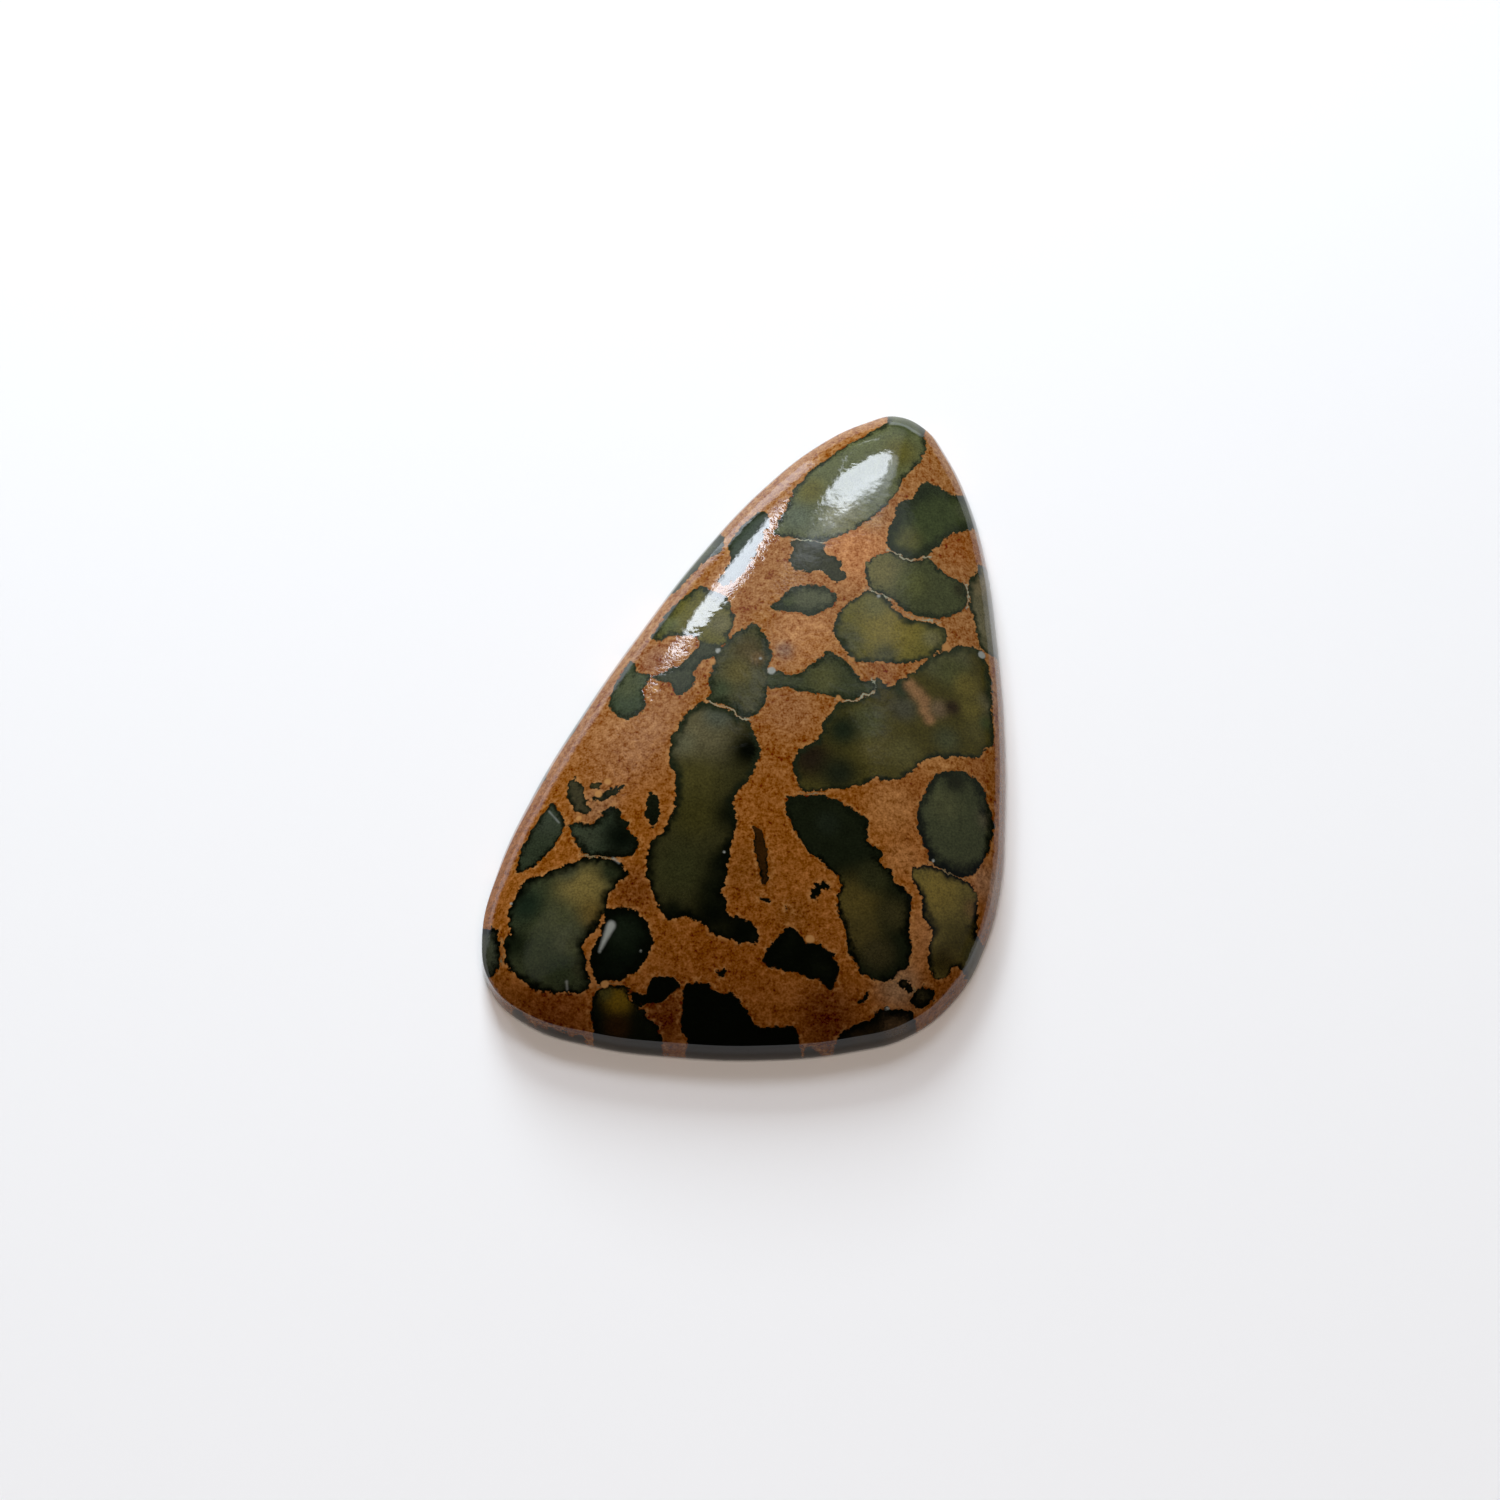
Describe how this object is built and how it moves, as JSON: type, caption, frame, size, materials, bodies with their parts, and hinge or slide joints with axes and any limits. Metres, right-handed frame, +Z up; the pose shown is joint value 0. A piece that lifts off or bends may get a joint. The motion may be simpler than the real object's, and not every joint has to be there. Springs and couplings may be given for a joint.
{
  "type": "fruit jasper cabochon",
  "caption": "Freeform rounded-triangle jasper cabochon with a flat back, a leaning girdle and a low polished dome of dark green pebbles in orange-brown ground.",
  "frame": {"origin": "centre of the outline's box on the flat back that the stone rests on", "axes": "+Z up through the dome, +Y along the stone's long way towards its narrow tip, +X to the side that the tip leans to"},
  "size_m": [0.0263, 0.0348, 0.0039],
  "materials": {
    "polished_jasper": "polished"
  },
  "bodies": {
    "root": {"cabochon": "polished_jasper"}
  },
  "joints": []
}
